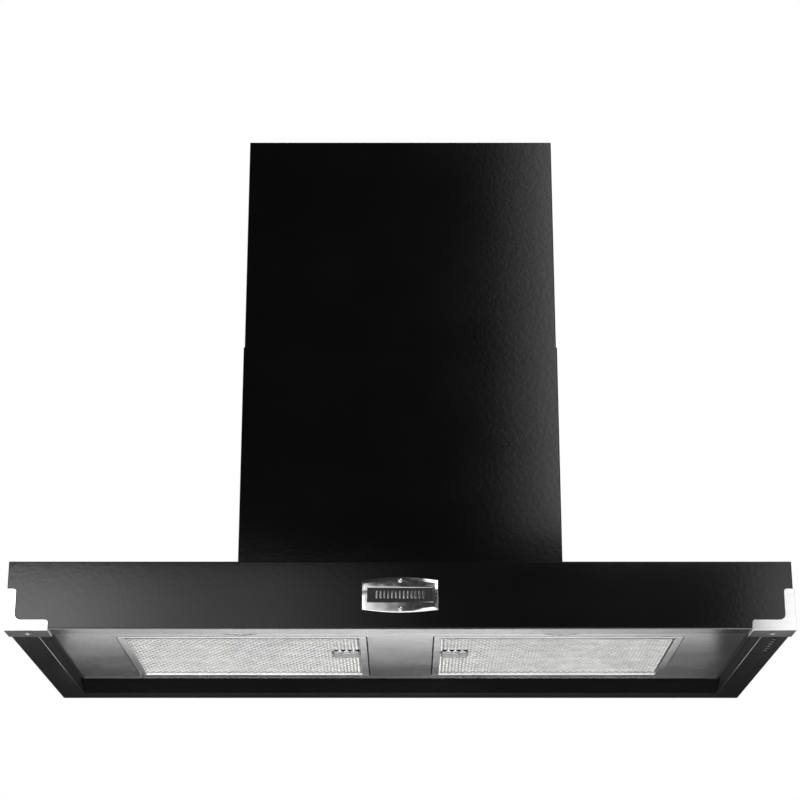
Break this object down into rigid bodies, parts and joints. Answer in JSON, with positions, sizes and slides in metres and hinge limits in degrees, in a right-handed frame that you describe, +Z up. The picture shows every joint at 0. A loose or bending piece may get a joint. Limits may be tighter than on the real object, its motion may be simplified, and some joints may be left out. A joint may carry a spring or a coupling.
{
  "type": "island range hood",
  "caption": "Ceiling-hung range hood: flat black canopy with steel grease filters, lamps and push buttons below, and a telescopic chimney above.",
  "frame": {"origin": "middle of the ceiling plate's top face, where the hood meets the ceiling; the hood hangs below z = 0", "axes": "+X along the canopy's long side, +Y from the front face to the back, +Z up"},
  "size_m": [1.0956, 0.5054, 0.7979],
  "materials": {
    "black_enamel": "gloss black enamel",
    "brushed_steel": "fine brushed, lengthways",
    "polished_steel": "polished",
    "filter_frame": "bright rolled",
    "filter_mesh": "expanded mesh",
    "aluminium": "satin",
    "badge_metal": "satin, blank",
    "badge_inset": "dark inset, blank",
    "zinc": "galvanised",
    "motor_casing": "painted casting",
    "lamp_glass": "lightly frosted",
    "button_cap": "satin metallic cap",
    "grey_plastic": "moulded",
    "black_plastic": "moulded"
  },
  "bodies": {
    "ceiling_frame": {"ceiling_plate": "zinc", "upper_chimney": "black_enamel", "upper_upright_front_left": "zinc", "upper_upright_front_right": "zinc", "upper_upright_back_left": "zinc", "upper_upright_back_right": "zinc"},
    "canopy": {"lower_chimney": "black_enamel", "top_panel": "black_enamel", "front_panel": "black_enamel", "rear_panel": "black_enamel", "left_side_panel": "black_enamel", "right_side_panel": "black_enamel", "front_rail": "brushed_steel", "lamp_panel": "brushed_steel", "filter_panel": "brushed_steel", "badge_plate": "badge_metal", "badge_inset": "badge_inset", "badge_screw_upper": "polished_steel", "badge_screw_lower": "polished_steel", "motor_box": "zinc", "blower_scroll": "zinc", "motor": "motor_casing", "outlet_collar": "zinc", "control_box": "grey_plastic", "terminal_box": "black_plastic", "terminal_lid": "black_plastic", "cable_gland": "black_plastic", "lower_upright_front_left": "zinc", "lower_upright_front_right": "zinc", "lower_upright_back_left": "zinc", "lower_upright_back_right": "zinc", "corner_bracket_left": "polished_steel", "bracket_screw_left": "polished_steel", "lamp_bezel_left": "polished_steel", "lamp_lens_left": "lamp_glass", "lamp_housing_left": "zinc", "corner_bracket_right": "polished_steel", "bracket_screw_right": "polished_steel", "lamp_bezel_right": "polished_steel", "lamp_lens_right": "lamp_glass", "lamp_housing_right": "zinc"},
    "fan": {"impeller": "zinc"},
    "flap_left": {"damper_flap_left": "aluminium"},
    "filter_left": {"filter_frame_left": "filter_frame", "filter_mesh_left": "filter_mesh", "handle_tray_left": "filter_frame"},
    "latch_left": {"filter_latch_left": "polished_steel"},
    "flap_right": {"damper_flap_right": "aluminium"},
    "filter_right": {"filter_frame_right": "filter_frame", "filter_mesh_right": "filter_mesh", "handle_tray_right": "filter_frame"},
    "latch_right": {"filter_latch_right": "polished_steel"},
    "push_1": {"button_1": "button_cap"},
    "push_2": {"button_2": "button_cap"},
    "push_3": {"button_3": "button_cap"},
    "push_4": {"button_4": "button_cap"},
    "push_5": {"button_5": "button_cap"},
    "push_6": {"button_6": "button_cap"}
  },
  "joints": [
    {"name": "height_adjust", "type": "slide", "parent": "ceiling_frame", "child": "canopy", "axis": [0, 0, 1], "range_m": [0, 0.3]},
    {"name": "fan_spin", "type": "hinge", "parent": "canopy", "child": "fan", "pos_m": [0, 0.03, -0.591], "axis": [1, 0, 0], "continuous": true},
    {"name": "filter_left_swing", "type": "hinge", "parent": "canopy", "child": "filter_left", "pos_m": [-0.409, 0.0085, -0.7806], "axis": [0, 1, 0], "range_deg": [0, 75]},
    {"name": "latch_left_slide", "type": "slide", "parent": "filter_left", "child": "latch_left", "axis": [-1, 0, 0], "range_m": [0, 0.006], "stiffness_N_per_m": 300, "springref_m": -0.002},
    {"name": "flap_left_swing", "type": "hinge", "parent": "canopy", "child": "flap_left", "pos_m": [-0.003, 0, -0.4271], "axis": [0, 1, 0], "range_deg": [0, 80]},
    {"name": "filter_right_swing", "type": "hinge", "parent": "canopy", "child": "filter_right", "pos_m": [0.409, 0.0085, -0.7806], "axis": [0, -1, 0], "range_deg": [0, 75]},
    {"name": "latch_right_slide", "type": "slide", "parent": "filter_right", "child": "latch_right", "axis": [1, 0, 0], "range_m": [0, 0.006], "stiffness_N_per_m": 300, "springref_m": -0.002},
    {"name": "flap_right_swing", "type": "hinge", "parent": "canopy", "child": "flap_right", "pos_m": [0.003, 0, -0.4271], "axis": [0, -1, 0], "range_deg": [0, 80]},
    {"name": "button_1_press", "type": "slide", "parent": "canopy", "child": "push_1", "axis": [0, 0, 1], "range_m": [0, 0.0015], "stiffness_N_per_m": 400, "springref_m": -0.001},
    {"name": "button_2_press", "type": "slide", "parent": "canopy", "child": "push_2", "axis": [0, 0, 1], "range_m": [0, 0.0015], "stiffness_N_per_m": 400, "springref_m": -0.001},
    {"name": "button_3_press", "type": "slide", "parent": "canopy", "child": "push_3", "axis": [0, 0, 1], "range_m": [0, 0.0015], "stiffness_N_per_m": 400, "springref_m": -0.001},
    {"name": "button_4_press", "type": "slide", "parent": "canopy", "child": "push_4", "axis": [0, 0, 1], "range_m": [0, 0.0015], "stiffness_N_per_m": 400, "springref_m": -0.001},
    {"name": "button_5_press", "type": "slide", "parent": "canopy", "child": "push_5", "axis": [0, 0, 1], "range_m": [0, 0.0015], "stiffness_N_per_m": 400, "springref_m": -0.001},
    {"name": "button_6_press", "type": "slide", "parent": "canopy", "child": "push_6", "axis": [0, 0, 1], "range_m": [0, 0.0015], "stiffness_N_per_m": 400, "springref_m": -0.001}
  ]
}
